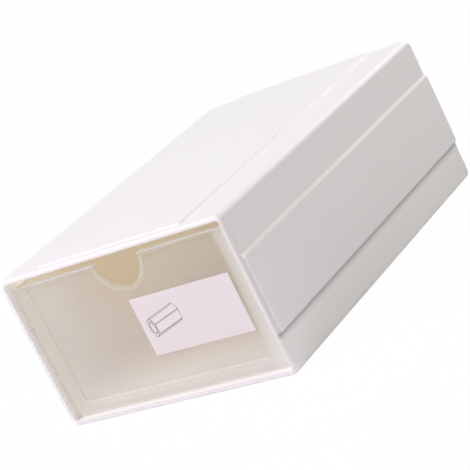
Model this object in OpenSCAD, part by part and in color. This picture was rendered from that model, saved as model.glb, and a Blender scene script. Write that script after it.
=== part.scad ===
// Stackable drawer box: a one-piece shell with interlocking faces, and a translucent drawer that slides
// out of its open front. X runs across the front, Y from the front to the back, Z up.
// The origin is under the middle of the whole box, on the surface that it stands on.

/* [Shell] */
// Width of the shell over its flat sides, without the side key
shell_w = 110; // [90:1:160]
// Depth of the shell from its open front to its back
shell_d = 173; // [120:1:240]
// Height of the shell from its base to its flat top, without the top pad
shell_h = 65.5; // [56:0.5:110]
// Thickness of the shell's walls
shell_wall = 2.3; // [2:0.1:4]
// Radius of the shell's four long outer edges
shell_edge_r = 3.3; // [1:0.1:8]
// Radius of the shell's four long inner edges
shell_inner_r = 1; // [0.5:0.1:3]

/* [Side key] */
// Width of the flat crest of the key on the right side
side_key_w = 30.4; // [16:0.2:36]
// Height that the side key stands out of the right side
side_key_h = 1.1; // [0.6:0.1:1.4]
// Distance from the shell's front to the side key
side_key_start = 1; // [0.8:0.1:12]

/* [Top pad] */
// Width of the flat crest of the pad on the top
top_pad_w = 70.2; // [40:0.2:78]
// Height that the top pad stands out of the top
top_pad_h = 0.7; // [0.4:0.1:1]
// Distance from the shell's front to the foot of the top pad
top_pad_start = 2.3; // [1:0.1:12]

/* [Keyways] */
// Clearance between a key or pad and the keyway of the next box
keyway_clear = 0.2; // [0.1:0.05:0.4]

/* [Drawer] */
// Distance from the shell's front back to the drawer's front
drawer_setback = 3.2; // [0.5:0.1:10]
// Gap between the drawer and the shell on each side
drawer_side_gap = 0.8; // [0.3:0.1:2]
// Gap between the drawer and the shell's floor
drawer_floor_gap = 0.3; // [0.2:0.05:0.8]
// Gap between the drawer's top edge and the shell's ceiling
drawer_top_gap = 3; // [0.5:0.1:8]
// Gap between the drawer's back and the shell's back wall
drawer_back_gap = 1.2; // [0.3:0.1:5]
// Thickness of the drawer's side walls, back wall and floor
drawer_wall = 1.4; // [1:0.1:3]
// Radius of the drawer's two long bottom edges
drawer_bottom_r = 3.5; // [2:0.1:8]
// Radius of the drawer's two long top edges
drawer_top_r = 0.8; // [0.3:0.1:0.9]

/* [Drawer front] */
// Thickness of the front wall behind its rim
front_wall = 1.4; // [1:0.1:3]
// Height that the rim stands out of the front
front_rim_h = 0.5; // [0.2:0.05:1]
// Width of the rim at the two sides of the front
front_rim_side = 5.7; // [2:0.1:10]
// Width of the rim at the bottom of the front
front_rim_bottom = 5; // [2:0.1:10]
// Width of the rim along the top edge and round the notch
front_rim_top = 1.6; // [0.8:0.1:4]
// Radius of the finger notch
notch_r = 10.8; // [7:0.1:15]
// Radius of the two lips where the notch meets the top edge
notch_lip_r = 1; // [0.5:0.1:2]

/* [Label] */
// Width of the label
label_w = 46.9; // [20:0.1:66]
// Height of the label
label_h = 23.9; // [10:0.1:34]
// Thickness of the label
label_t = 0.3; // [0.2:0.05:0.5]
// Gap between the label and the rim on its right
label_right_gap = 2.1; // [0.5:0.1:20]
// Gap between the label and the rim round the notch above it
label_top_gap = 3.7; // [0.5:0.1:8]

/* [Hidden] */

$fn = 96;
// Overshoot of a cut past the face that it opens
over = 1;
// Smallest radius that an inner corner keeps
least_r = 0.3;

// The side key widens the box on one side, so the shell's own middle lies off the origin
mid_x = -side_key_h / 2;
front_y = -shell_d / 2;
back_y = shell_d / 2;

cavity_w = shell_w - 2 * shell_wall;
cavity_h = shell_h - 2 * shell_wall;

side_key_z = shell_h / 2;
keyway_start = side_key_start - keyway_clear;
pad_keyway_start = top_pad_start - keyway_clear;

drawer_w = cavity_w - 2 * drawer_side_gap;
drawer_h = cavity_h - drawer_floor_gap - drawer_top_gap;
drawer_z = shell_wall + drawer_floor_gap;
drawer_front_y = front_y + drawer_setback;
drawer_back_y = back_y - shell_wall - drawer_back_gap;
field_y = drawer_front_y + front_rim_h;
field_w = drawer_w - 2 * front_rim_side;
field_h = drawer_h - front_rim_bottom - front_rim_top;

drawer_inner_r = max(drawer_bottom_r - drawer_wall, least_r);

notch_z = drawer_h - notch_lip_r;
label_x = field_w / 2 - label_right_gap - label_w;
label_z = notch_z - notch_r - front_rim_top - label_top_gap - label_h;

// Puts an outline drawn in X and Z between two depths
module along_depth(from, to) {
    translate([0, to, 0])
        rotate([90, 0, 0])
            linear_extrude(to - from)
                children();
}

// Puts an outline drawn in Y and Z across a width that is centred on X = 0
module along_width(width) {
    rotate([90, 0, 90])
        linear_extrude(width, center = true)
            children();
}

// Rectangle that stands on Z = 0, with one radius for its lower and one for its upper corners
module rounded_outline(width, height, lower_r, upper_r) {
    difference() {
        translate([-width / 2, 0])
            square([width, height]);
        for (side = [-1, 1]) {
            translate([side * width / 2, 0])
                corner_waste(-side, 1, lower_r);
            translate([side * width / 2, height])
                corner_waste(-side, -1, upper_r);
        }
    }
}

// What a square corner at the origin loses when it is rounded; dx and dz point into the outline
module corner_waste(dx, dz, radius) {
    difference() {
        translate([dx * radius / 2 - dx * over / 2, dz * radius / 2 - dz * over / 2])
            square([radius + over, radius + over], center = true);
        translate([dx * radius, dz * radius])
            circle(radius);
    }
}

// Flat-crested key with 45-degree flanks, drawn standing on a face along the first axis.
// Its foot runs on below the face by sink.
module key_outline(crest_w, height, sink) {
    foot_w = crest_w + 2 * height;
    polygon([
        [-sink, -foot_w / 2],
        [0, -foot_w / 2],
        [height, -crest_w / 2],
        [height, crest_w / 2],
        [0, foot_w / 2],
        [-sink, foot_w / 2]
    ]);
}

// Key on the right side, from its square front end to the back
module side_key() {
    along_depth(front_y + side_key_start, back_y)
        translate([shell_w / 2, side_key_z])
            key_outline(side_key_w, side_key_h, shell_wall / 2);
}

// Keyway in the left side that takes the key of the next box, open at the back
module side_keyway() {
    depth = side_key_h + keyway_clear;
    along_depth(front_y + keyway_start, back_y + over)
        translate([-shell_w / 2, side_key_z])
            key_outline(side_key_w, depth, over);
}

// Pad that stands height above Z = 0, with flanks at 45 degrees on both sides and at its front
module pad_body(crest_w, height, start, end, sink) {
    intersection() {
        along_depth(front_y + start, end)
            rotate(90)
                key_outline(crest_w, height, sink);
        along_width(shell_w)
            polygon([
                [front_y + start, -sink],
                [front_y + start, 0],
                [front_y + start + height, height],
                [end, height],
                [end, -sink]
            ]);
    }
}

module shell() {
    color("white")
        translate([mid_x, 0, 0]) {
            difference() {
                union() {
                    along_depth(front_y, back_y)
                        rounded_outline(shell_w, shell_h, shell_edge_r, shell_edge_r);
                    side_key();
                    translate([0, 0, shell_h])
                        pad_body(top_pad_w, top_pad_h, top_pad_start, back_y, shell_wall / 2);
                }
                along_depth(front_y - over, back_y - shell_wall)
                    translate([0, shell_wall])
                        rounded_outline(cavity_w, cavity_h, shell_inner_r, shell_inner_r);
                side_keyway();
                pad_body(top_pad_w, top_pad_h + keyway_clear, pad_keyway_start, back_y + over, over);
            }
        }
}

// Finger notch with its lips, and the space above it, with its rim grown outwards by grow
module notch_outline(grow) {
    cut_r = notch_r + grow;
    translate([0, notch_z])
        circle(cut_r);
    translate([-cut_r, notch_z])
        square([2 * cut_r, notch_lip_r + over]);
}

// The two corners that the lips take off the top edge beside the notch
module lip_waste() {
    for (side = [-1, 1])
        translate([side * notch_r, drawer_h])
            corner_waste(side, -1, notch_lip_r);
}

// Recessed field of the drawer's front, inside the rim
module field_outline() {
    difference() {
        translate([-field_w / 2, front_rim_bottom])
            square([field_w, field_h]);
        notch_outline(front_rim_top);
    }
}

module drawer() {
    inner_w = drawer_w - 2 * drawer_wall;
    color([0.9, 0.88, 0.84, 0.6])
        translate([mid_x, 0, drawer_z])
            difference() {
                along_depth(drawer_front_y, drawer_back_y)
                    rounded_outline(drawer_w, drawer_h, drawer_bottom_r, drawer_top_r);
                along_depth(field_y + front_wall, drawer_back_y - drawer_wall)
                    translate([0, drawer_wall])
                        rounded_outline(inner_w, drawer_h, drawer_inner_r, least_r);
                along_depth(drawer_front_y - over, field_y)
                    field_outline();
                along_depth(drawer_front_y - over, field_y + front_wall + over) {
                    notch_outline(0);
                    lip_waste();
                }
            }
}

module label() {
    color("lavenderblush")
        translate([mid_x + label_x, field_y - label_t, drawer_z + label_z])
            cube([label_w, label_t, label_h]);
}

shell();
drawer();
label();
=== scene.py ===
import math

import bmesh
import bpy
from bpy.props import FloatProperty, FloatVectorProperty, PointerProperty
from mathutils import Euler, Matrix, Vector


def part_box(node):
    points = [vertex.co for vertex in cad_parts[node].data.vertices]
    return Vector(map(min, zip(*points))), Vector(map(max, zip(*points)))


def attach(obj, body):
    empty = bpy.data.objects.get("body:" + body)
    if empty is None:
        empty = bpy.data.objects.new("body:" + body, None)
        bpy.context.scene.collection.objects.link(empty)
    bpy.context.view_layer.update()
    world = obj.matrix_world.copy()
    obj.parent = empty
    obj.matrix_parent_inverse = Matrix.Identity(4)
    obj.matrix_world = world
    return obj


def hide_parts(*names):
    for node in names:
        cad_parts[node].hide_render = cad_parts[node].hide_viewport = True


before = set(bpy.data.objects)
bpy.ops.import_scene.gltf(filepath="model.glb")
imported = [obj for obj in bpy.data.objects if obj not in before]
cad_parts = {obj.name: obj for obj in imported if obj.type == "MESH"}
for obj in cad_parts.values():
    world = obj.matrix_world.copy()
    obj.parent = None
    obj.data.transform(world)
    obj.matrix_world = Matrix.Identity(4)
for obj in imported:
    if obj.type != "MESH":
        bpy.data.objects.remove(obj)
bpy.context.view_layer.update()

bl_info = {
    "name": "Stackable drawer box",
    "version": (1, 0, 0),
    "blender": (4, 5, 0),
    "location": "3D View > Sidebar > Drawer box",
    "description": "Builds the looks of a stackable box with a translucent drawer around its packed CAD model",
    "category": "Object",
}

MM = 0.001
# Distance within which two points are one, and a far smaller step to either side of a depth
TOUCH = 1e-6
STEP = 1e-9
# Smallest face that is kept, in square metres
LEAST_AREA = 1e-9
BLACK = (0.0, 0.0, 0.0)
WHITE = (1.0, 1.0, 1.0)
SENSOR_MM = 36.0

SHELL_LO, SHELL_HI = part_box("shell")
DRAWER_LO, DRAWER_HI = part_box("drawer")
LABEL_LO, LABEL_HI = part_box("label")

# Which feature of the shell a point of its outline belongs to
PLAIN, SIDE_KEY_FOOT, SIDE_KEY_CREST, SIDE_KEYWAY_FOOT, SIDE_KEYWAY_CREST = range(5)
TOP_PAD_FOOT, TOP_PAD_CREST, BASE_RECESS_FOOT, BASE_RECESS_CREST = range(5, 9)
SIDE_FEET = (SIDE_KEY_FOOT, SIDE_KEYWAY_FOOT)
CRESTS = (SIDE_KEY_CREST, SIDE_KEYWAY_CREST, TOP_PAD_CREST, BASE_RECESS_CREST)


def number(name, description, default, **kind):
    """Number from 0 up."""
    return FloatProperty(name=name, description=description, default=default, min=0.0, **kind)


def length(name, description, default):
    """Size in metres, shown in the scene's unit."""
    return number(name, description, default, subtype="DISTANCE", unit="LENGTH")


def factor(name, description, default):
    """Number from 0 to 1, such as a roughness."""
    return number(name, description, default, max=1.0, subtype="FACTOR")


def power(name, description, default):
    """Power of a lamp in watts."""
    return number(name, description, default, unit="POWER")


def colour(name, description, default):
    """Linear colour."""
    return FloatVectorProperty(
        name=name, description=description, default=default, size=3, min=0.0, max=1.0, subtype="COLOR"
    )


def vector(name, description, default, subtype="TRANSLATION", unit="LENGTH"):
    """Place or turn, with one number for each axis."""
    return FloatVectorProperty(
        name=name, description=description, default=default, size=len(default), subtype=subtype, unit=unit
    )


class ShellSettings(bpy.types.PropertyGroup):
    """Sizes and finish of the shell"""

    wall: length("Wall", "Thickness of the walls", 2.3 * MM)
    edge_radius: length("Edge radius", "Radius of the four long outer edges", 3.3 * MM)
    side_key_width: length("Side key width", "Width of the side key's crest", 30.4 * MM)
    side_key_height: length("Side key height", "Height of the side key", 1.1 * MM)
    side_key_start: length("Side key start", "Distance from the front to the side key", 1.0 * MM)
    top_pad_width: length("Top pad width", "Width of the top pad's crest", 70.2 * MM)
    top_pad_height: length("Top pad height", "Height of the top pad", 0.7 * MM)
    top_pad_start: length("Top pad start", "Distance from the front to the top pad", 2.3 * MM)
    key_clearance: length("Key clearance", "Clearance of the keyway and the base recess", 0.2 * MM)
    rim_round: length("Rim round", "Radius of the front rim's outer edge", 1.9 * MM)
    rim_inner_round: length("Rim inner round", "Radius of the front rim's inner edge", 0.45 * MM)
    crease_round: length("Edge softness", "Radius of the small edges of keys, pad and back", 0.4 * MM)
    tint: colour("Colour", "Colour of the moulded plastic", (0.92, 0.91, 0.936))
    rim_tint: colour("Rim colour", "Colour of the front rim", (0.92, 0.895, 0.885))
    # Painted light: paler colour of the front rim near the ground and on its inner left edge
    rim_low_tint: colour(
        "Low rim colour", "Colour of the front rim near the ground, where it looks paler", (1.0, 0.98, 0.98)
    )
    rim_glow: colour(
        "Rim glow", "Light that comes through the left side of the front rim", (0.14, 0.125, 0.13)
    )
    # Painted light: pale colour of the low strip on the right side and of the side key's upper flank
    pale_tint: colour("Pale colour", "Colour of the palest places on the shell", (1.0, 0.985, 1.0))
    inner_tint: colour("Inner colour", "Colour of the plastic inside, warmed by the light", (0.9, 0.86, 0.77))
    inner_glow: colour("Inner glow", "Light that the walls let into the box", (0.322, 0.305, 0.26))
    mouth_tint: colour("Mouth colour", "Colour of the walls in front of the drawer", (0.83, 0.805, 0.795))
    mouth_glow: colour(
        "Mouth glow", "Light that comes through the walls in front of the drawer", (0.17, 0.165, 0.155)
    )
    left_mouth_glow: colour(
        "Left mouth glow", "Light through the left wall just behind the rim", (0.28, 0.255, 0.26)
    )
    sill_glow: colour(
        "Sill glow", "Light that comes through the floor in front of the drawer", (0.12, 0.11, 0.11)
    )
    mouth_depth: length("Mouth depth", "Depth behind the front before the inner colour turns warm", 3.4 * MM)
    roughness: factor("Roughness", "Roughness of the moulded plastic", 0.42)
    # Painted shade in the crease under the side key
    under_key: factor("Under the key", "Share of the colour left in the crease under the side key", 0.57)


class DrawerSettings(bpy.types.PropertyGroup):
    """Sizes and finish of the drawer"""

    wall: length("Wall", "Thickness of the walls and the floor", 1.4 * MM)
    front_wall: length("Front wall", "Thickness of the front wall behind its rim", 1.4 * MM)
    bottom_radius: length("Bottom radius", "Radius of the two long bottom edges", 3.5 * MM)
    top_radius: length("Top radius", "Radius of the two long top edges", 0.8 * MM)
    rim_height: length("Rim height", "Height that the front rim stands out", 0.5 * MM)
    rim_side: length("Rim at the sides", "Width of the front rim at the sides", 5.7 * MM)
    rim_bottom: length("Rim at the bottom", "Width of the front rim at the bottom", 5.0 * MM)
    rim_top: length("Rim at the top", "Width of the front rim along the top and round the notch", 1.6 * MM)
    notch_radius: length("Notch radius", "Radius of the finger notch", 10.8 * MM)
    lip_radius: length("Lip radius", "Radius of the lips beside the notch", 1.0 * MM)
    field_radius: length("Field radius", "Radius of the field's upper corners", 1.0 * MM)
    draft: length("Draft", "How much narrower each side is at the floor than at the top", 0.9 * MM)
    softness: length("Edge softness", "Radius of the small edges", 0.22 * MM)
    tint: colour("Colour", "Colour of the translucent plastic", (0.9, 0.84, 0.77))
    # Painted light on the walls just behind the front
    near_tint: colour(
        "Near colour", "Colour that the walls tend to close behind the front", (1.0, 0.95, 0.9)
    )
    shadow_tint: colour(
        "Shadow colour", "Colour that the walls tend to where the shell shades them", (0.88, 0.74, 0.65)
    )
    lit_width: length("Lit width", "Width of the front's right side where light comes in", 8.0 * MM)
    lit_share: number("Lit share", "How opaque the front's right edge is against its bottom", 1.25)
    # Painted light and shade on the front: pale low colour, partly milkier plastic and partly painted light;
    # painted shade high up; cool painted light on the left
    low_tint: colour(
        "Low front colour", "Colour of the front near its bottom, where it looks milky", (0.93, 0.96, 1.0)
    )
    middle_tint: colour("Middle front colour", "Colour of the front at its middle height", (0.81, 0.86, 0.96))
    high_tint: colour("High front colour", "Colour of the front near its top", (0.69, 0.69, 0.76))
    left_tint: colour(
        "Left front colour", "Colour of the front high on its left, where it looks cool", (0.68, 0.82, 1.0)
    )
    opacity: factor("Opacity", "Opacity of each surface of the walls and the floor", 0.8)
    field_opacity: factor("Front opacity", "Opacity of each surface of the front wall at its bottom", 0.4)
    rim_opacity: factor("Rim opacity", "Opacity of the front's raised rim at its bottom", 0.5)
    edge_opacity: factor("Edge opacity", "Opacity of the edges of the front's rim at its bottom", 0.35)
    glow: colour("Glow", "Colour of the light that comes through the plastic", (0.96, 0.9, 0.79))
    see_light: factor("Light through", "Share of the light that spreads through the plastic", 0.16)
    roughness: factor("Roughness", "Roughness of the translucent plastic", 0.33)


class LabelSettings(bpy.types.PropertyGroup):
    """Sizes and finish of the label and its print"""

    corner_radius: length("Corner radius", "Radius of the card's corners", 0.25 * MM)
    stroke: length("Stroke", "Width of the printed lines", 0.22 * MM)
    ink_height: length("Ink height", "Height of the print on the card", 0.03 * MM)
    icon_height: length("Icon height", "Height of the printed picture", 10.9 * MM)
    icon_place: vector(
        "Icon place", "Middle of the printed nut's near end, from the card's lower left corner",
        (4.6 * MM, 11.1 * MM),
    )
    tint: colour("Card colour", "Colour of the card", (0.893, 0.82, 0.84))
    ink: colour("Ink colour", "Colour of the printed lines", (0.05, 0.045, 0.055))


class StageSettings(bpy.types.PropertyGroup):
    """Camera, lamps and backdrop"""

    camera_place: vector("Camera place", "Where the camera stands", (0.42696, -0.58345, 0.20459))
    camera_turn: vector(
        "Camera turn", "Turn of the camera", (1.31007, 0.44867, 0.52529), subtype="EULER", unit="ROTATION"
    )
    lens: number("Lens", "Focal length of the camera", 140.47, unit="CAMERA")
    sky: number("Sky", "Strength of the even light all round", 0.0)
    left_lamp: power("Left lamp", "Power of the softbox over the front, on the left", 12.0)
    top_lamp: power("Top lamp", "Power of the softbox over the front", 10.0)
    top_lamp_tint: colour("Top lamp colour", "Colour of the softbox over the front", (0.963, 0.898, 1.0))
    right_lamp: power("Right lamp", "Power of the softbox on the right", 6.4)
    right_lamp_tint: colour(
        "Right lamp colour", "Colour of the softbox on the right", (1.0, 0.953, 0.833)
    )
    back_lamp: power("Back lamp", "Power of the softbox at the back", 9.65)
    lamp_size: length("Lamp size", "Side of each softbox", 0.9)
    floor_tint: colour("Floor colour", "Colour of the floor", (0.9, 0.9, 0.9))
    backdrop_share: factor(
        "Backdrop share", "Share of plain white in what the camera sees of the floor", 0.98
    )


# ---------------------------------------------------------------- mesh helpers

def finish_mesh(name, bm, *materials, sharp_angle=math.radians(35)):
    """Turns a bmesh into an object at the origin, smooth apart from its sharp edges."""
    bmesh.ops.recalc_face_normals(bm, faces=bm.faces[:])
    mesh = bpy.data.meshes.new(name)
    bm.to_mesh(mesh)
    bm.free()
    for polygon in mesh.polygons:
        polygon.use_smooth = True
    mesh.set_sharp_from_angle(angle=sharp_angle)
    for material in materials:
        mesh.materials.append(material)
    piece = bpy.data.objects.new(name, mesh)
    bpy.context.scene.collection.objects.link(piece)
    weights = piece.modifiers.new("Even shading", "WEIGHTED_NORMAL")
    weights.keep_sharp = True
    weights.weight = 100
    return piece


def ring_edges(verts):
    """Edges that join two of these vertices, in the vertices' order."""
    chosen = set(verts)
    edges = (edge for vert in verts for edge in vert.link_edges if edge.other_vert(vert) in chosen)
    return list(dict.fromkeys(edges))


def extrude_ring(bm, verts):
    """Extrudes a closed ring of vertices, and returns the new ring in the same order."""
    made = bmesh.ops.extrude_edge_only(bm, edges=ring_edges(verts))
    fresh = {item for item in made["geom"] if isinstance(item, bmesh.types.BMVert)}
    order = []
    for vert in verts:
        order.append(next(e.other_vert(vert) for e in vert.link_edges if e.other_vert(vert) in fresh))
    return order


def round_corners(bm, verts, radius, segments):
    """Rounds corners of a flat outline."""
    bmesh.ops.bevel(
        bm, geom=verts, offset=radius, offset_type="OFFSET", segments=segments, profile=0.5,
        affect="VERTICES", clamp_overlap=False, material=-1,
    )


def round_edges(bm, edges, radius, segments):
    """Rounds edges of a solid."""
    bmesh.ops.bevel(
        bm, geom=edges, offset=radius, offset_type="OFFSET", segments=segments, profile=0.5,
        affect="EDGES", clamp_overlap=True, loop_slide=True, material=-1,
    )


# Faces that turn by less than this lie in one plane
FLAT = math.radians(0.5)


def clean(bm):
    """Merges doubled vertices and joins faces that lie in one plane."""
    bmesh.ops.remove_doubles(bm, verts=bm.verts[:], dist=TOUCH)
    bmesh.ops.dissolve_degenerate(bm, edges=bm.edges[:], dist=TOUCH)
    bmesh.ops.dissolve_limit(
        bm, angle_limit=FLAT, verts=bm.verts[:], edges=bm.edges[:], delimit=set()
    )
    bmesh.ops.recalc_face_normals(bm, faces=bm.faces[:])


def convex_edges(bm, least_angle):
    """Edges that stand out and turn by more than least_angle."""
    return [
        edge for edge in bm.edges
        if edge.is_manifold and edge.is_convex and edge.calc_face_angle() > least_angle
    ]


# ------------------------------------------------------------------- materials

# Moulded surface: how its flow lines stretch, how large its clouds are and where they start and end,
# how fine its grain is, and how far its roughness strays to either side
FLOW_SCALE = (1.0, 0.25, 1.0)
CLOUD_SCALE = 22.0
CLOUD_START, CLOUD_END = 0.3, 0.7
GRAIN_SCALE = 1800.0
ROUGHNESS_SPREAD = 0.06


def shade(values, share=1.0):
    """Colour as four numbers, made darker to this share."""
    return (*[value * share for value in values], 1.0)


def add_node(nodes, kind, **values):
    """New node with values on its inputs. An underscore stands for a space in an input's name."""
    node = nodes.new(kind)
    for name, value in values.items():
        node.inputs[name.replace("_", " ")].default_value = value
    return node


def connect(links, value, socket):
    """Feeds a socket from another one, or sets it to a number or a colour."""
    if isinstance(value, bpy.types.NodeSocket):
        links.new(value, socket)
    else:
        socket.default_value = value if isinstance(value, float) else shade(value)


def combine(nodes, links, operation, first, second):
    """Product or larger one of two values, each a socket or a number."""
    node = nodes.new("ShaderNodeMath")
    node.operation = operation
    connect(links, first, node.inputs[0])
    connect(links, second, node.inputs[1])
    return node.outputs[0]


def mix_shaders(nodes, links, share, first, second, output):
    """Sends a mix of two shaders to an output node."""
    mix = nodes.new("ShaderNodeMixShader")
    connect(links, share, mix.inputs["Fac"])
    links.new(first, mix.inputs[1])
    links.new(second, mix.inputs[2])
    links.new(mix.outputs["Shader"], output.inputs["Surface"])


def group_sockets(group, inputs, outputs):
    """Gives a node group its named inputs and outputs."""
    for name, kind, default in inputs:
        socket = group.interface.new_socket(name=name, in_out="INPUT", socket_type=kind)
        socket.default_value = default
    for name, kind in outputs:
        group.interface.new_socket(name=name, in_out="OUTPUT", socket_type=kind)


def moulded_surface():
    """Node group for moulded plastic: cloudy tone, fine grain and faint flow lines along the depth."""
    name = "Moulded surface"
    if name in bpy.data.node_groups:
        return bpy.data.node_groups[name]
    group = bpy.data.node_groups.new(name, "ShaderNodeTree")
    group_sockets(
        group,
        [
            ("Light", "NodeSocketColor", (0.9, 0.9, 0.9, 1)),
            ("Dark", "NodeSocketColor", (0.8, 0.8, 0.8, 1)),
            ("Smooth", "NodeSocketFloat", 0.35),
            ("Rough", "NodeSocketFloat", 0.5),
            ("Grain scale", "NodeSocketFloat", GRAIN_SCALE),
        ],
        [("Colour", "NodeSocketColor"), ("Roughness", "NodeSocketFloat"), ("Height", "NodeSocketFloat")],
    )
    nodes, links = group.nodes, group.links
    source = nodes.new("NodeGroupInput")
    sink = nodes.new("NodeGroupOutput")
    place = nodes.new("ShaderNodeTexCoord")
    flow = add_node(nodes, "ShaderNodeMapping", Scale=FLOW_SCALE)
    links.new(place.outputs["Object"], flow.inputs["Vector"])
    cloud = add_node(nodes, "ShaderNodeTexNoise", Scale=CLOUD_SCALE, Detail=3.0)
    links.new(flow.outputs["Vector"], cloud.inputs["Vector"])
    tone = add_node(nodes, "ShaderNodeMapRange", From_Min=CLOUD_START, From_Max=CLOUD_END)
    links.new(cloud.outputs["Fac"], tone.inputs["Value"])
    mix = nodes.new("ShaderNodeMix")
    mix.data_type = "RGBA"
    links.new(tone.outputs["Result"], mix.inputs["Factor"])
    links.new(source.outputs["Light"], mix.inputs["A"])
    links.new(source.outputs["Dark"], mix.inputs["B"])
    links.new(mix.outputs["Result"], sink.inputs["Colour"])
    grain = add_node(nodes, "ShaderNodeTexNoise", Detail=2.0)
    links.new(place.outputs["Object"], grain.inputs["Vector"])
    links.new(source.outputs["Grain scale"], grain.inputs["Scale"])
    polish = nodes.new("ShaderNodeMapRange")
    links.new(grain.outputs["Fac"], polish.inputs["Value"])
    links.new(source.outputs["Smooth"], polish.inputs["To Min"])
    links.new(source.outputs["Rough"], polish.inputs["To Max"])
    links.new(polish.outputs["Result"], sink.inputs["Roughness"])
    links.new(grain.outputs["Fac"], sink.inputs["Height"])
    return group


def new_material(name):
    """Empty material with its shader and output."""
    material = bpy.data.materials.new(name)
    material.use_nodes = True
    nodes = material.node_tree.nodes
    nodes.clear()
    shader = nodes.new("ShaderNodeBsdfPrincipled")
    output = nodes.new("ShaderNodeOutputMaterial")
    material.node_tree.links.new(shader.outputs["BSDF"], output.inputs["Surface"])
    return material, shader


def moulded_plastic(name, tint, roughness, grain_depth, tone_share, grain_scale=GRAIN_SCALE):
    """Plastic with the moulded surface group on it."""
    material, shader = new_material(name)
    nodes, links = material.node_tree.nodes, material.node_tree.links
    surface = nodes.new("ShaderNodeGroup")
    surface.node_tree = moulded_surface()
    values = {
        "Light": shade(tint), "Dark": shade(tint, tone_share), "Grain scale": grain_scale,
        "Smooth": roughness - ROUGHNESS_SPREAD, "Rough": roughness + ROUGHNESS_SPREAD,
    }
    for socket, value in values.items():
        surface.inputs[socket].default_value = value
    links.new(surface.outputs["Colour"], shader.inputs["Base Color"])
    links.new(surface.outputs["Roughness"], shader.inputs["Roughness"])
    bump = add_node(nodes, "ShaderNodeBump", Strength=1.0, Distance=grain_depth)
    links.new(surface.outputs["Height"], bump.inputs["Height"])
    links.new(bump.outputs["Normal"], shader.inputs["Normal"])
    return material, shader


def let_light_through(material, shader, glow, share):
    """Lets this share of the light pass through a wall, softly spread."""
    nodes, links = material.node_tree.nodes, material.node_tree.links
    passing = add_node(nodes, "ShaderNodeBsdfTranslucent", Color=shade(glow))
    output = next(node for node in nodes if node.type == "OUTPUT_MATERIAL")
    mix_shaders(nodes, links, share, shader.outputs["BSDF"], passing.outputs["BSDF"], output)


def fading(value, full, end, after=0.0):
    """Stops of a ramp that holds a value up to one distance, and has turned to another by the end."""
    return ((0.0, value), (full, value), (end, after))


def scaled(stops, reach=1.0, share=1.0):
    """Stops of a ramp with their distances and shares multiplied."""
    return [(at * reach, value * share) for at, value in stops]


class Paint:
    """Varies a material's colours and values with the place on the object."""

    def __init__(self, material, shader):
        self.nodes, self.links = material.node_tree.nodes, material.node_tree.links
        self.shader = shader
        self.plain = shader.inputs["Base Color"].links[0].from_socket
        place = self.nodes.new("ShaderNodeTexCoord")
        self.axes = self.nodes.new("ShaderNodeSeparateXYZ")
        self.links.new(place.outputs["Object"], self.axes.inputs["Vector"])

    def along(self, axis, start, stops):
        """Value or colour that follows one axis, from stops at their distance behind its start."""
        reach = stops[-1][0]
        share = add_node(self.nodes, "ShaderNodeMapRange", From_Min=start, From_Max=start + reach)
        self.links.new(self.axes.outputs[axis], share.inputs["Value"])
        ramp = self.nodes.new("ShaderNodeValToRGB")
        elements = ramp.color_ramp.elements
        elements.remove(elements[1])
        for i, (distance, value) in enumerate(stops):
            element = elements[0] if i == 0 else elements.new(distance / reach)
            element.position = distance / reach
            element.color = shade((value,) * 3 if isinstance(value, float) else value)
        self.links.new(share.outputs["Result"], ramp.inputs["Fac"])
        return ramp.outputs["Color"]

    def product(self, first, second):
        """Product of two values."""
        return combine(self.nodes, self.links, "MULTIPLY", first, second)

    def blend(self, share, first, second):
        """Mix of two colours, each a socket or three numbers."""
        node = self.nodes.new("ShaderNodeMix")
        node.data_type = "RGBA"
        self.links.new(share, node.inputs["Factor"])
        connect(self.links, first, node.inputs["A"])
        connect(self.links, second, node.inputs["B"])
        return node.outputs["Result"]

    def set_colour(self, colour_socket):
        """Gives the surface this colour."""
        self.links.new(colour_socket, self.shader.inputs["Base Color"])

    def set_glow(self, colour_socket):
        """Lets the surface give off this light."""
        self.links.new(colour_socket, self.shader.inputs["Emission Color"])
        self.shader.inputs["Emission Strength"].default_value = 1.0


# ----------------------------------------------------------------------- shell

def flat_top(settings):
    """Height of the shell's top beside its pad."""
    return SHELL_HI.z - settings.top_pad_height


def flat_side(settings):
    """X of the shell's right side beside its key."""
    return SHELL_HI.x - settings.side_key_height


def shell_section(settings):
    """Feature, X and Z of each point of the shell's outline, anticlockwise seen from the front."""
    half_w = (SHELL_HI.x - SHELL_LO.x - settings.side_key_height) / 2
    top = flat_top(settings)
    key_z = top / 2
    key_half = settings.side_key_width / 2
    key_foot = key_half + settings.side_key_height
    way_foot = key_foot + settings.key_clearance
    pad_half = settings.top_pad_width / 2
    pad_foot = pad_half + settings.top_pad_height
    recess_foot = pad_foot + settings.key_clearance
    return half_w, top, [
        (PLAIN, -half_w, 0.0),
        (BASE_RECESS_FOOT, -recess_foot, 0.0),
        (BASE_RECESS_CREST, -pad_half, 0.0),
        (BASE_RECESS_CREST, pad_half, 0.0),
        (BASE_RECESS_FOOT, recess_foot, 0.0),
        (PLAIN, half_w, 0.0),
        (SIDE_KEY_FOOT, half_w, key_z - key_foot),
        (SIDE_KEY_CREST, half_w, key_z - key_half),
        (SIDE_KEY_CREST, half_w, key_z + key_half),
        (SIDE_KEY_FOOT, half_w, key_z + key_foot),
        (PLAIN, half_w, top),
        (TOP_PAD_FOOT, pad_foot, top),
        (TOP_PAD_CREST, pad_half, top),
        (TOP_PAD_CREST, -pad_half, top),
        (TOP_PAD_FOOT, -pad_foot, top),
        (PLAIN, -half_w, top),
        (SIDE_KEYWAY_FOOT, -half_w, key_z + way_foot),
        (SIDE_KEYWAY_CREST, -half_w, key_z + key_half),
        (SIDE_KEYWAY_CREST, -half_w, key_z - key_half),
        (SIDE_KEYWAY_FOOT, -half_w, key_z - way_foot),
    ]


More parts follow.
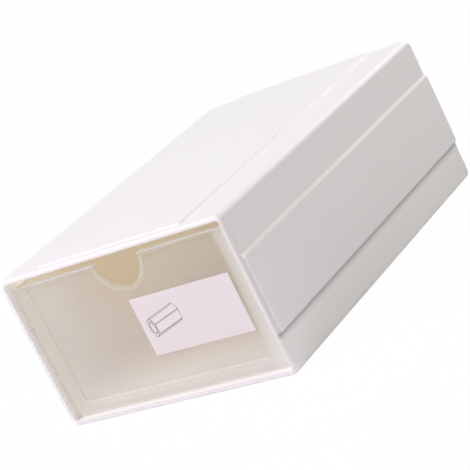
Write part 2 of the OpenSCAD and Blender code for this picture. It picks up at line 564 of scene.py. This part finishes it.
class ShellLoft:
    """Sweeps the shell's section from its back, round the front rim and into the cavity."""

    def __init__(self, settings):
        self.settings = settings
        self.bm = bmesh.new()
        self.feature = self.bm.verts.layers.int.new("feature")
        self.half_w, self.top, points = shell_section(settings)
        for feature, x, z in points:
            vert = self.bm.verts.new((x, 0.0, z))
            vert[self.feature] = feature
        self.bm.verts.ensure_lookup_table()
        start = self.bm.faces.new(self.bm.verts[:])
        corners = [vert for vert in self.bm.verts if vert[self.feature] == PLAIN]
        round_corners(self.bm, corners, settings.edge_radius, segments=10)
        face = self.bm.faces[:][0]
        self.ring = [loop.vert for loop in face.loops]
        for vert in self.ring:
            if self.is_corner(vert):
                vert[self.feature] = PLAIN
        self.rest = [vert.co.copy() for vert in self.ring]
        self.bm.faces.remove(face)

    def is_corner(self, vert):
        """True for the points of the rounded corners."""
        inner_w = self.half_w - self.settings.edge_radius - TOUCH
        edge = self.settings.edge_radius - TOUCH
        return abs(vert.co.x) > inner_w and not edge < vert.co.z < self.top - edge

    def inward(self, point):
        """Direction into the wall at a point of the outline."""
        radius = self.settings.edge_radius
        core_x = min(max(point.x, -self.half_w + radius), self.half_w - radius)
        core_z = min(max(point.z, radius), self.top - radius)
        return Vector((core_x - point.x, 0.0, core_z - point.z)).normalized()

    def stretch(self, feature, y):
        """How far a crest stands out at this depth, and how far a foot spreads for it."""
        s = self.settings
        clearance = s.key_clearance
        if feature in (SIDE_KEY_FOOT, SIDE_KEY_CREST):
            return s.side_key_height if y >= s.side_key_start else 0.0
        if feature in (SIDE_KEYWAY_FOOT, SIDE_KEYWAY_CREST):
            return -s.side_key_height - clearance if y >= s.side_key_start - clearance else 0.0
        if feature in (TOP_PAD_FOOT, TOP_PAD_CREST):
            return min(max(y - s.top_pad_start, 0.0), s.top_pad_height)
        if feature in (BASE_RECESS_FOOT, BASE_RECESS_CREST):
            return -min(max(y - s.top_pad_start + clearance, 0.0), s.top_pad_height + clearance)
        return 0.0

    def place(self, y, inset, before_step=False, in_cavity=False):
        """Moves the current ring to a depth and an inset, with the crests standing out as they do there."""
        for vert, rest in zip(self.ring, self.rest):
            feature = vert[self.feature]
            inward = self.inward(rest)
            point = rest + inward * inset
            rise = 0.0 if in_cavity else self.stretch(feature, y + STEP)
            if rise and feature in SIDE_FEET:
                point.z += math.copysign(inset, (rest.z - self.top / 2) * rise)
            if before_step:
                rise = self.stretch(feature, y - STEP)
            if rise and feature in CRESTS:
                point = rest - inward * rise
            vert.co = (point.x, y, point.z)

    def sweep(self, y, inset, before_step=False, in_cavity=False):
        """Extrudes the ring to a new place."""
        self.ring = extrude_ring(self.bm, self.ring)
        self.place(y, inset, before_step, in_cavity)


def build_shell(settings):
    """The moulded shell: outer walls, rounded front rim and cavity in one sweep."""
    loft = ShellLoft(settings)
    depth = SHELL_HI.y - SHELL_LO.y
    start = settings.side_key_start
    keyway_start = start - settings.key_clearance
    crest_y = settings.top_pad_start + settings.top_pad_height
    loft.place(depth, 0.0)
    for y in (crest_y, settings.top_pad_start, settings.top_pad_start - settings.key_clearance):
        loft.sweep(y, 0.0)
    rim = settings.rim_round
    steps = 8
    stations = {rim * (1 - math.cos(math.pi / 2 * i / steps)) for i in range(steps + 1)}
    stations |= {start, keyway_start}
    for y in sorted(stations, reverse=True):
        inset = rim - math.sqrt(max(rim * rim - (rim - y) ** 2, 0.0))
        loft.sweep(y, inset)
        if y in (start, keyway_start):
            loft.sweep(y, inset, before_step=True)
    inner = settings.rim_inner_round
    inner_steps = 3
    for i in range(inner_steps + 1):
        angle = math.pi / 2 * i / inner_steps
        inset = settings.wall - inner * (1 - math.sin(angle))
        loft.sweep(inner * (1 - math.cos(angle)), inset, in_cavity=True)
    loft.sweep(depth - settings.wall, settings.wall, in_cavity=True)
    bm = loft.bm
    bm.faces.new(loft.ring)
    back = [vert for vert in bm.verts if abs(vert.co.y - depth) < STEP]
    bmesh.ops.contextual_create(bm, geom=ring_edges(back))
    bmesh.ops.connect_verts_nonplanar(bm, angle_limit=FLAT, faces=bm.faces[:])
    clean(bm)
    round_edges(bm, convex_edges(bm, math.radians(30)), settings.crease_round, segments=2)
    cavity_x = loft.half_w - settings.wall + TOUCH
    cavity_y = depth - settings.wall + TOUCH
    cavity_z = loft.top / 2 - settings.wall + TOUCH
    for face in bm.faces:
        middle = face.calc_center_median()
        inside = abs(middle.x) < cavity_x and middle.y < cavity_y and abs(middle.z - loft.top / 2) < cavity_z
        face.material_index = 1 if inside else 0
    shift = Vector(((SHELL_LO.x + SHELL_HI.x - settings.side_key_height) / 2, SHELL_LO.y, SHELL_LO.z))
    bmesh.ops.translate(bm, verts=bm.verts[:], vec=shift)
    return bm


# Ramps along one axis: distance behind the ramp's start, then the share that is painted there
LEFT_RIM_SHADE = fading(0.34, 1.1 * MM, 1.5 * MM)
BEHIND_RIM = fading(0.0, 0.7 * MM, 1.8 * MM, 1.0)
NEAR_RIM = fading(1.0, 0.8 * MM, 2.4 * MM)
# Painted light low on the right side
LOW_SIDE_LIGHT = fading(0.7, 12.0 * MM, 15.5 * MM)
SIDE_START = ((0.0, 0.0), (0.6 * MM, 1.0))
# Painted shade in the crease under the side key
SHADE_UNDER_KEY_REACH = 2.9 * MM
SHADE_UNDER_KEY = (
    (0.0, 0.0), (1.5 * MM, 0.3), (2.2 * MM, 0.85), (2.6 * MM, 1.0), (3.1 * MM, 1.0), (3.5 * MM, 0.0),
)
# Painted highlight on the side key's upper flank
KEY_FLANK_HIGHLIGHT_REACH = 0.6 * MM
KEY_FLANK_HIGHLIGHT = ((0.0, 0.0), (0.4 * MM, 0.9), (1.5 * MM, 0.9), (2.0 * MM, 0.0))
PAST_SIDE = ((0.0, 0.0), (0.2 * MM, 1.0))
# The same, with each distance as a share of the key's distance from the front, or of its height
KEY_END_SHADE = ((0.5, 0.0), (0.8, 0.3), (1.05, 0.3), (1.25, 0.0))
ON_KEY = ((0.0, 0.0), (0.1, 1.0), (0.6, 1.0), (0.8, 0.0))


def paint_rim(paint, settings):
    """Warm front rim with painted light, paler near the ground and on its inner left edge, painted shade on
    its outer left rounding, and glowing on its left. Returns the shell's colour with it.
    """
    rim = paint.along("Z", SHELL_LO.z, fading(settings.rim_low_tint, 2.2 * MM, 5.0 * MM, settings.rim_tint))
    outer_left = paint.along("X", SHELL_LO.x, LEFT_RIM_SHADE)
    inner_left_light = paint.along("X", SHELL_LO.x, [
        (1.1 * MM, 0.0), (1.75 * MM, 1.0), (settings.wall, 0.8), (settings.wall * 1.4, 0.0),
    ])
    # Painted shade on the rim's outer left rounding, then painted light on its inner left edge
    rim = paint.blend(outer_left, rim, BLACK)
    rim = paint.blend(inner_left_light, rim, settings.rim_low_tint)
    behind_rim = paint.along("Y", SHELL_LO.y, BEHIND_RIM)
    glow = paint.blend(inner_left_light, BLACK, settings.rim_glow)
    paint.set_glow(paint.blend(behind_rim, glow, BLACK))
    return paint.blend(behind_rim, rim, paint.plain)


def paint_side(paint, body, settings):
    """Painted light as a pale strip low on the right side, and painted shade in the crease under the side key.
    """
    key_foot = flat_top(settings) / 2 - settings.side_key_width / 2 - settings.side_key_height
    crease = paint.along("Z", key_foot - SHADE_UNDER_KEY_REACH, scaled(SHADE_UNDER_KEY, share=1.0 - settings.under_key))
    on_side = paint.along("X", flat_side(settings) - 1.2 * MM, SIDE_START)
    low = paint.along("Z", SHELL_LO.z, LOW_SIDE_LIGHT)
    # Painted light on the low strip, then painted shade in the crease under the key
    body = paint.blend(paint.product(low, on_side), body, settings.pale_tint)
    return paint.blend(paint.product(crease, on_side), body, BLACK)


def paint_key(paint, body, settings):
    """Painted shade on the side key's front end, and a painted highlight on its upper flank."""
    key_end_shade = paint.along("Y", SHELL_LO.y, scaled(KEY_END_SHADE, settings.side_key_start))
    on_key = paint.along("X", flat_side(settings), scaled(ON_KEY, settings.side_key_height))
    # Painted shade on the key's front end
    body = paint.blend(paint.product(key_end_shade, on_key), body, BLACK)
    crest = flat_top(settings) / 2 + settings.side_key_width / 2
    # Painted highlight on the key's upper flank
    flank = paint.along("Z", crest - KEY_FLANK_HIGHLIGHT_REACH, KEY_FLANK_HIGHLIGHT)
    past_side = paint.along("X", flat_side(settings), PAST_SIDE)
    return paint.blend(paint.product(flank, past_side), body, settings.pale_tint)


def paint_inside(paint, settings):
    """Keeps the mouth pale, and lets the walls turn warm and glow further in."""
    mouth, wall = settings.mouth_depth, settings.wall
    inwards = paint.along("Y", SHELL_LO.y, fading(0.0, mouth, mouth * 3, 1.0))
    paint.set_colour(paint.blend(inwards, settings.mouth_tint, paint.plain))
    sill = fading(settings.sill_glow, wall + 0.2 * MM, wall + 1.5 * MM, settings.mouth_glow)
    in_mouth = paint.along("Z", SHELL_LO.z, sill)
    on_left = paint.along("X", SHELL_LO.x, fading(1.0, wall, wall * 1.4))
    near_rim = paint.along("Y", SHELL_LO.y, NEAR_RIM)
    in_mouth = paint.blend(paint.product(on_left, near_rim), in_mouth, settings.left_mouth_glow)
    paint.set_glow(paint.blend(inwards, in_mouth, settings.inner_glow))


class DRAWERBOX_OT_shell(bpy.types.Operator):
    """Build the white shell with its interlocking keys"""

    bl_idname = "drawerbox.shell"
    bl_label = "Shell"

    def execute(self, context):
        settings = context.scene.drawerbox_shell
        finish = {"roughness": settings.roughness, "grain_depth": 0.006 * MM, "tone_share": 0.985}
        outside, shader = moulded_plastic("Shell plastic", settings.tint, **finish)
        paint = Paint(outside, shader)
        body = paint_rim(paint, settings)
        body = paint_side(paint, body, settings)
        paint.set_colour(paint_key(paint, body, settings))
        inside, shader = moulded_plastic("Shell plastic inside", settings.inner_tint, **finish)
        paint_inside(Paint(inside, shader), settings)
        shell = finish_mesh("shell_moulding", build_shell(settings), outside, inside)
        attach(shell, "shell")
        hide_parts("shell")
        return {"FINISHED"}


# ---------------------------------------------------------------------- drawer

class DrawerPlan:
    """Sizes of the drawer, taken from its CAD node and its settings."""

    def __init__(self, settings):
        self.settings = settings
        self.half_w = (DRAWER_HI.x - DRAWER_LO.x) / 2
        self.height = DRAWER_HI.z - DRAWER_LO.z
        self.depth = DRAWER_HI.y - DRAWER_LO.y
        self.front_depth = settings.rim_height + settings.front_wall

    def on_top_corner(self, point):
        """True on the rounded ends of the top edge."""
        reach = self.settings.top_radius + TOUCH
        return abs(point.x) > self.half_w - reach and point.z > self.height - reach

    def corner_turn(self, point):
        """Where a point of the outline lies on the rounded end of the top edge, as a direction."""
        radius = self.settings.top_radius
        across = max(abs(point.x) - self.half_w + radius, 0.0)
        return Vector((across, 0.0, max(point.z - self.height + radius, 0.0))).normalized()

    def on_lip(self, point):
        """True on the rounded lips beside the notch."""
        reach = self.settings.lip_radius + TOUCH
        return abs(point.x) < self.settings.notch_radius + reach and point.z > self.height - reach

    def on_top(self, point):
        """True along the top edge and round the notch."""
        s = self.settings
        in_notch = abs(point.x) < s.notch_radius + TOUCH and point.z > self.height / 3
        at_edge = point.z > self.height - TOUCH
        return in_notch or at_edge or self.on_lip(point) or self.on_top_corner(point)


def end_wall_outline(bm, plan, notched):
    """Flat outline of the drawer's front or back wall, at Y = 0."""
    s = plan.settings
    half, height, inner = plan.half_w, plan.height, plan.half_w - s.wall
    points = [(-half, 0.0), (half, 0.0), (half, height), (inner, height)]
    if notched:
        floor = height - s.lip_radius - s.notch_radius
        points += [(s.notch_radius, height), (s.notch_radius, floor)]
        points += [(-s.notch_radius, floor), (-s.notch_radius, height)]
    points += [(-inner, height), (-half, height)]
    verts = [bm.verts.new((x, 0.0, z)) for x, z in points]
    bm.faces.new(verts)
    round_corners(bm, verts[:2], s.bottom_radius, segments=8)
    round_corners(bm, [verts[2], verts[-1]], s.top_radius, segments=3)
    if notched:
        round_corners(bm, [verts[4], verts[7]], s.lip_radius, segments=4)
        # Just under the notch's radius, so that its two quarter circles don't meet in one point
        round_corners(bm, verts[5:7], s.notch_radius * 0.9999, segments=16)


def partner(vert, face):
    """The vertex that an inset vertex came from."""
    inside = set(face.verts)
    return next(edge.other_vert(vert) for edge in vert.link_edges if edge.other_vert(vert) not in inside)


def add_end_wall(bm, plan, outer_y, inner_y, notched):
    """A slab whose inner side is opened where the floor and the sides join it. Returns its outer face."""
    s = plan.settings
    before = set(bm.faces)
    end_wall_outline(bm, plan, notched)
    outer = next(face for face in bm.faces if face not in before)
    bmesh.ops.translate(bm, verts=outer.verts[:], vec=(0.0, outer_y, 0.0))
    made = bmesh.ops.extrude_face_region(bm, geom=[outer], use_keep_orig=True)
    inner = next(item for item in made["geom"] if isinstance(item, bmesh.types.BMFace))
    bmesh.ops.translate(bm, verts=inner.verts[:], vec=(0.0, inner_y - outer_y, 0.0))
    inset = bmesh.ops.inset_region(bm, faces=[inner], thickness=s.wall, use_even_offset=True)
    moves = [(vert, partner(vert, inner).co.copy()) for vert in inner.verts]
    inner_w = plan.half_w - s.wall
    for vert, outside in moves:
        if plan.on_top_corner(outside):
            vert.co = (math.copysign(inner_w, outside.x), inner_y, plan.height)
        elif plan.on_top(outside):
            vert.co = outside
    ring = [face for face in inset["faces"] if face.calc_area() > LEAST_AREA]
    bmesh.ops.delete(bm, geom=ring, context="FACES")
    bmesh.ops.remove_doubles(bm, verts=bm.verts[:], dist=TOUCH)
    return outer


def widest_face(bm, y):
    """The largest face that lies at this depth."""
    flat = [face for face in bm.faces if all(abs(vert.co.y - y) < TOUCH for vert in face.verts)]
    return max(flat, key=lambda face: face.calc_area())


def raise_rim(bm, plan, face):
    """Sinks the field of the front inside its rim."""
    s = plan.settings
    bmesh.ops.inset_region(bm, faces=[face], thickness=s.rim_top, use_even_offset=True)
    field_x, top_z = plan.half_w - s.rim_side, plan.height - s.rim_top
    moves = [(vert, partner(vert, face).co.copy()) for vert in face.verts]
    for vert, outside in moves:
        near_notch = abs(outside.x) < plan.half_w / 2
        if plan.on_top(outside) and near_notch:
            if plan.on_lip(outside) or vert.co.z > top_z:
                vert.co.x = math.copysign(s.notch_radius + s.rim_top, outside.x)
                vert.co.z = top_z
        elif plan.on_top(outside):
            turn = plan.corner_turn(outside) * s.field_radius
            vert.co.x = math.copysign(field_x - s.field_radius + turn.x, outside.x)
            vert.co.z = top_z - s.field_radius + turn.z
        else:
            vert.co.x -= math.copysign(s.rim_side - s.rim_top, vert.co.x)
            vert.co.z += s.rim_bottom - s.rim_top
    bmesh.ops.remove_doubles(bm, verts=bm.verts[:], dist=TOUCH)
    bmesh.ops.recalc_face_normals(bm, faces=bm.faces[:])
    field = widest_face(bm, 0.0)
    bmesh.ops.inset_region(
        bm, faces=[field], thickness=s.rim_height, depth=-s.rim_height, use_even_offset=True
    )


def build_drawer(settings):
    """The translucent drawer: front and back walls joined by the floor and the sides."""
    plan = DrawerPlan(settings)
    bm = bmesh.new()
    front = add_end_wall(bm, plan, 0.0, plan.front_depth, notched=True)
    add_end_wall(bm, plan, plan.depth, plan.depth - settings.wall, notched=False)
    bmesh.ops.bridge_loops(bm, edges=[edge for edge in bm.edges if edge.is_boundary])
    raise_rim(bm, plan, front)
    clean(bm)
    for vert in bm.verts:
        vert.co.x *= 1.0 - settings.draft / plan.half_w * (1.0 - vert.co.z / plan.height)
    round_edges(bm, convex_edges(bm, math.radians(40)), settings.softness, segments=2)
    shift = Vector(((DRAWER_LO.x + DRAWER_HI.x) / 2, DRAWER_LO.y, DRAWER_LO.z))
    bmesh.ops.translate(bm, verts=bm.verts[:], vec=shift)
    return bm


PLASTIC_IOR = 1.49
# Ramps along one axis: distance behind the ramp's start, then the share or value there
# Opacity up the front: higher low down, partly milkier plastic and partly painted light
FRONT_MILK_AND_LIGHT = ((0.0, 1.0), (4.0 * MM, 0.95), (12.0 * MM, 0.72), (24.0 * MM, 0.52), (46.0 * MM, 0.48))
HIGH_ON_FRONT = ((8.0 * MM, 0.0), (34.0 * MM, 1.0))
LEFT_LIGHT_ON_FRONT = fading(1.0, 12.0 * MM, 45.0 * MM)
LIGHT_NEAR_WALLS = fading(0.4, 20.0 * MM, 36.0 * MM)
SHADED_WALLS = ((20.0 * MM, 0.0), (34.0 * MM, 0.6), (46.0 * MM, 0.6), (72.0 * MM, 0.0))
# How far under the top the painted highlight along the front's top edge starts, and is full
EDGE_HIGHLIGHT_START, EDGE_HIGHLIGHT_FULL = 0.9 * MM, 0.4 * MM
# How far behind the front wall its paint ends, as a share of its depth
FRONT_PAINT_END = 1.2


def near_top_edge(below, above):
    """Stops of a ramp up the front that turn from one value to another under its top edge, where a highlight
    is painted.
    """
    top = DRAWER_HI.z - DRAWER_LO.z
    return ((top - EDGE_HIGHLIGHT_START, below), (top - EDGE_HIGHLIGHT_FULL, above))


def front_opacity(paint, lit, settings):
    """Opacity of the front: clearer than the walls behind it, milkier along its edges, and more opaque low
    down, at its right edge and at its top edge, which paints light there.
    """
    rim, edge, field = settings.rim_opacity, settings.edge_opacity, settings.field_opacity
    step = settings.rim_height
    behind = step + settings.front_wall
    opacity = paint.along("Y", DRAWER_LO.y, [
        (0.0, rim), (step * 0.1, rim), (step * 0.3, edge), (step * 0.7, edge), (step, field), (behind, field),
        (behind * FRONT_PAINT_END, settings.opacity),
    ])
    thickness = paint.along("Z", DRAWER_LO.z, [
        *FRONT_MILK_AND_LIGHT, *near_top_edge(0.5, 1.9), (DRAWER_HI.z - DRAWER_LO.z, 1.9),
    ])
    thickness = paint.blend(lit, thickness, (settings.lit_share,) * 3)
    return paint.product(opacity, thickness)


def front_colour(paint, lit, settings):
    """Colour of the front, with painted light and shade: cool and milky low down, on the raised rim and at the
    right edge, partly painted light; warm and dim high up with painted shade; cool painted light high on its
    left.
    """
    front = paint.along("Z", DRAWER_LO.z, [
        (0.0, settings.low_tint),
        (12.0 * MM, settings.low_tint),
        (26.0 * MM, settings.middle_tint),
        (46.0 * MM, settings.high_tint),
        *near_top_edge(settings.high_tint, settings.tint),
    ])
    high = paint.along("Z", DRAWER_LO.z, [*HIGH_ON_FRONT, *near_top_edge(1.0, 0.0)])
    left = paint.along("X", DRAWER_LO.x, LEFT_LIGHT_ON_FRONT)
    step = settings.rim_height
    on_rim = paint.along("Y", DRAWER_LO.y, fading(0.7, step * 0.8, step))
    # Cool painted light high on the left, then a paler colour on the raised rim and at the right edge, partly
    # painted light
    front = paint.blend(paint.product(high, left), front, settings.left_tint)
    front = paint.blend(on_rim, front, settings.low_tint)
    return paint.blend(lit, front, settings.low_tint)


def wall_colour(paint, settings):
    """Colour of the walls and the floor: painted light near the front, with a painted soft shade behind that.
    """
    near = paint.along("Y", DRAWER_LO.y, LIGHT_NEAR_WALLS)
    shaded = paint.along("Y", DRAWER_LO.y, SHADED_WALLS)
    walls = paint.blend(near, paint.plain, settings.near_tint)
    return paint.blend(shaded, walls, settings.shadow_tint)


def paint_drawer(paint, settings):
    """Gives the front its own opacity and colours, and the walls behind it theirs."""
    lit = paint.along("X", DRAWER_HI.x - settings.lit_width, [(0.0, 0.0), (settings.lit_width, 1.0)])
    paint.links.new(front_opacity(paint, lit, settings), paint.shader.inputs["Alpha"])
    behind = settings.rim_height + settings.front_wall
    in_front = paint.along("Y", DRAWER_LO.y, fading(1.0, behind, behind * FRONT_PAINT_END))
    walls, front = wall_colour(paint, settings), front_colour(paint, lit, settings)
    paint.set_colour(paint.blend(in_front, walls, front))


class DRAWERBOX_OT_drawer(bpy.types.Operator):
    """Build the translucent drawer with its finger notch"""

    bl_idname = "drawerbox.drawer"
    bl_label = "Drawer"

    def execute(self, context):
        settings = context.scene.drawerbox_drawer
        material, shader = moulded_plastic(
            "Drawer plastic", settings.tint, settings.roughness, grain_depth=0.008 * MM, tone_share=0.97
        )
        shader.inputs["IOR"].default_value = PLASTIC_IOR
        paint_drawer(Paint(material, shader), settings)
        let_light_through(material, shader, settings.glow, settings.see_light)
        drawer = finish_mesh("drawer_moulding", build_drawer(settings), material)
        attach(drawer, "drawer")
        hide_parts("drawer")
        return {"FINISHED"}


# ----------------------------------------------------------------------- label

CARD_EDGE_RADIUS = 0.04 * MM
# The printed nut, seen at a slant: its radius, and its length to the right and upwards, as shares of the
# icon's height
NUT_RADIUS = 0.37
NUT_LENGTH = (1.19, 0.34)
# How narrow its end looks, how far that leans, and the radius of its hole, as shares of its own radius
NUT_NARROW = 0.46
NUT_LEAN = 0.27
NUT_HOLE = 0.62


def build_card(settings):
    """The label card, with softly cut corners."""
    bm = bmesh.new()
    bmesh.ops.create_cube(bm, size=1.0)
    bmesh.ops.scale(bm, verts=bm.verts[:], vec=LABEL_HI - LABEL_LO)
    bmesh.ops.translate(bm, verts=bm.verts[:], vec=(LABEL_LO + LABEL_HI) / 2)
    corners = [edge for edge in bm.edges if abs(edge.verts[0].co.y - edge.verts[1].co.y) > TOUCH]
    round_edges(bm, corners, settings.corner_radius, segments=3)
    round_edges(bm, convex_edges(bm, math.radians(60)), CARD_EDGE_RADIUS, segments=1)
    return bm


def hexagon(settings):
    """The six corners of the printed nut's near end, in the card's plane."""
    x, z = settings.icon_place
    size = settings.icon_height * NUT_RADIUS
    corners = []
    for i in range(6):
        angle = math.radians(30 + 60 * i)
        across, up = math.cos(angle), math.sin(angle)
        corners.append(Vector((x + across * size * NUT_NARROW, 0.0, z + (up - across * NUT_LEAN) * size)))
    return corners


def add_ring(bm, centre, right, up, stroke):
    """Printed round line: a flat ring."""
    made = bmesh.ops.create_circle(bm, cap_ends=True, segments=28, radius=1.0)
    for vert in made["verts"]:
        vert.co = centre + right * vert.co.x + up * vert.co.y
    face = made["verts"][0].link_faces[0]
    face.normal_update()
    bmesh.ops.inset_region(bm, faces=[face], thickness=stroke, use_even_offset=True, use_boundary=True)
    bmesh.ops.delete(bm, geom=[face], context="FACES_ONLY")


def build_print(settings):
    """Generic picture of a long hexagonal nut, as raised lines of ink on the card."""
    bm = bmesh.new()
    near = [bm.verts.new(point) for point in hexagon(settings)]
    along, up = (settings.icon_height * share for share in NUT_LENGTH)
    far = {i: bm.verts.new(near[i].co + Vector((along, 0.0, up))) for i in (2, 1, 0, 5, 4)}
    faces = [bm.faces.new(near)]
    for i, j in ((2, 1), (1, 0), (0, 5), (5, 4)):
        faces.append(bm.faces.new((near[i], near[j], far[j], far[i])))
    bm.normal_update()
    bmesh.ops.inset_individual(bm, faces=faces, thickness=settings.stroke / 2, use_even_offset=True)
    bmesh.ops.delete(bm, geom=faces, context="FACES_ONLY")
    centre = sum((vert.co for vert in near), Vector()) / 6
    hole = settings.icon_height * NUT_RADIUS * NUT_HOLE
    right = Vector((hole * NUT_NARROW, 0.0, -hole * NUT_LEAN))
    add_ring(bm, centre, right, Vector((0.0, 0.0, hole)), settings.stroke)
    made = bmesh.ops.extrude_face_region(bm, geom=bm.faces[:], use_keep_orig=True)
    raised = [item for item in made["geom"] if isinstance(item, bmesh.types.BMVert)]
    bmesh.ops.translate(bm, verts=raised, vec=(0.0, -settings.ink_height, 0.0))
    bmesh.ops.translate(bm, verts=bm.verts[:], vec=LABEL_LO)
    return bm


class DRAWERBOX_OT_label(bpy.types.Operator):
    """Build the label card and its print"""

    bl_idname = "drawerbox.label"
    bl_label = "Label"

    def execute(self, context):
        settings = context.scene.drawerbox_label
        material, _ = moulded_plastic(
            "Label card", settings.tint, roughness=0.6, grain_depth=0.01 * MM, tone_share=0.985,
            grain_scale=2600.0,
        )
        card = finish_mesh("label_card", build_card(settings), material)
        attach(card, "drawer")
        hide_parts("label")
        ink, _ = moulded_plastic(
            "Ink", settings.ink, roughness=0.5, grain_depth=0.004 * MM, tone_share=0.8,
            grain_scale=3000.0,
        )
        picture = finish_mesh("label_print", build_print(settings), ink)
        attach(picture, "drawer")
        return {"FINISHED"}


# ----------------------------------------------------------------------- stage

# Where the softboxes stand, in metres
LEFT_SOFTBOX = (-0.8, -0.75, 1.1)
TOP_SOFTBOX = (-0.25, -0.9, 1.15)
RIGHT_SOFTBOX = (1.1, 0.3, 0.95)
BACK_SOFTBOX = (0.1, 1.4, 0.7)
FLOOR_REACH = 6.0


def add_softbox(name, place, size, watts, tint):
    """Square area lamp that looks at the middle of the box."""
    lamp = bpy.data.lights.new(name, "AREA")
    lamp.size = size
    lamp.energy = watts
    lamp.color = tint
    holder = bpy.data.objects.new(name, lamp)
    holder.location = place
    aim = (SHELL_LO + SHELL_HI) / 2 - Vector(place)
    holder.rotation_euler = aim.to_track_quat("-Z", "Y").to_euler()
    bpy.context.scene.collection.objects.link(holder)


def seen_directly(nodes, links):
    """Factor that is 1 where the camera, a reflection or a clear material looks."""
    path = nodes.new("ShaderNodeLightPath").outputs
    seen = combine(nodes, links, "MAXIMUM", path["Is Camera Ray"], path["Is Glossy Ray"])
    return combine(nodes, links, "MAXIMUM", seen, path["Is Transmission Ray"])


def build_world(sky):
    """Even light all round, and plain white where it is seen."""
    world = bpy.data.worlds.new("Plain white")
    world.use_nodes = True
    nodes, links = world.node_tree.nodes, world.node_tree.links
    nodes.clear()
    light = add_node(nodes, "ShaderNodeBackground", Strength=sky)
    white = add_node(nodes, "ShaderNodeBackground", Strength=1.0)
    output = nodes.new("ShaderNodeOutputWorld")
    seen = seen_directly(nodes, links)
    mix_shaders(nodes, links, seen, light.outputs["Background"], white.outputs["Background"], output)
    return world


def build_floor(settings):
    """Wide pale floor that keeps a faint shadow under a white ground."""
    bm = bmesh.new()
    bmesh.ops.create_grid(bm, x_segments=8, y_segments=8, size=FLOOR_REACH)
    mesh = bpy.data.meshes.new("floor")
    bm.to_mesh(mesh)
    bm.free()
    material = bpy.data.materials.new("Pale floor")
    material.use_nodes = True
    nodes, links = material.node_tree.nodes, material.node_tree.links
    nodes.clear()
    paint = add_node(nodes, "ShaderNodeBsdfDiffuse", Color=shade(settings.floor_tint))
    white = add_node(nodes, "ShaderNodeEmission", Strength=1.0)
    output = nodes.new("ShaderNodeOutputMaterial")
    share = combine(nodes, links, "MULTIPLY", seen_directly(nodes, links), settings.backdrop_share)
    mix_shaders(nodes, links, share, paint.outputs["BSDF"], white.outputs["Emission"], output)
    mesh.materials.append(material)
    floor = bpy.data.objects.new("floor", mesh)
    bpy.context.scene.collection.objects.link(floor)


def build_camera(settings):
    """The camera at its place."""
    lens = bpy.data.cameras.new("camera")
    lens.lens = settings.lens
    lens.sensor_width = SENSOR_MM
    lens.clip_start = 0.01
    lens.clip_end = 50.0
    camera = bpy.data.objects.new("camera", lens)
    camera.location = settings.camera_place
    camera.rotation_euler = Euler(settings.camera_turn)
    bpy.context.scene.collection.objects.link(camera)
    return camera


class DRAWERBOX_OT_stage(bpy.types.Operator):
    """Build the camera, the lamps, the floor and the white ground"""

    bl_idname = "drawerbox.stage"
    bl_label = "Stage"

    def execute(self, context):
        settings = context.scene.drawerbox_stage
        scene = context.scene
        scene.world = build_world(settings.sky)
        build_floor(settings)
        size = settings.lamp_size
        add_softbox("left_softbox", LEFT_SOFTBOX, size, settings.left_lamp, WHITE)
        add_softbox("top_softbox", TOP_SOFTBOX, size, settings.top_lamp, settings.top_lamp_tint)
        add_softbox("right_softbox", RIGHT_SOFTBOX, size, settings.right_lamp, settings.right_lamp_tint)
        add_softbox("back_softbox", BACK_SOFTBOX, size, settings.back_lamp, WHITE)
        scene.camera = build_camera(settings)
        scene.view_settings.view_transform = "Standard"
        return {"FINISHED"}


# ----------------------------------------------------------------------- panel

class DRAWERBOX_PT_panel(bpy.types.Panel):
    """Lists the pieces and their settings"""

    bl_idname = "DRAWERBOX_PT_panel"
    bl_label = "Drawer box"
    bl_space_type = "VIEW_3D"
    bl_region_type = "UI"
    bl_category = "Drawer box"

    def draw(self, context):
        for operator, name in PIECES:
            box = self.layout.box()
            box.operator(operator)
            settings = getattr(context.scene, name)
            for prop in settings.bl_rna.properties:
                if prop.identifier in settings.__annotations__:
                    box.prop(settings, prop.identifier)


PIECES = (
    ("drawerbox.shell", "drawerbox_shell"),
    ("drawerbox.drawer", "drawerbox_drawer"),
    ("drawerbox.label", "drawerbox_label"),
    ("drawerbox.stage", "drawerbox_stage"),
)
SETTINGS = {
    "drawerbox_shell": ShellSettings,
    "drawerbox_drawer": DrawerSettings,
    "drawerbox_label": LabelSettings,
    "drawerbox_stage": StageSettings,
}
CLASSES = (
    *SETTINGS.values(),
    DRAWERBOX_OT_shell,
    DRAWERBOX_OT_drawer,
    DRAWERBOX_OT_label,
    DRAWERBOX_OT_stage,
    DRAWERBOX_PT_panel,
)


def register():
    """Adds the classes and their settings to the scene."""
    for cls in CLASSES:
        bpy.utils.register_class(cls)
    for name, group in SETTINGS.items():
        setattr(bpy.types.Scene, name, PointerProperty(type=group))


def unregister():
    """Takes them away again."""
    for name in SETTINGS:
        delattr(bpy.types.Scene, name)
    for cls in reversed(CLASSES):
        bpy.utils.unregister_class(cls)


def main():
    """Builds every piece and the stage."""
    register()
    bpy.ops.drawerbox.shell()
    bpy.ops.drawerbox.drawer()
    bpy.ops.drawerbox.label()
    bpy.ops.drawerbox.stage()
    bpy.context.view_layer.update()


if __name__ == "__main__":
    main()
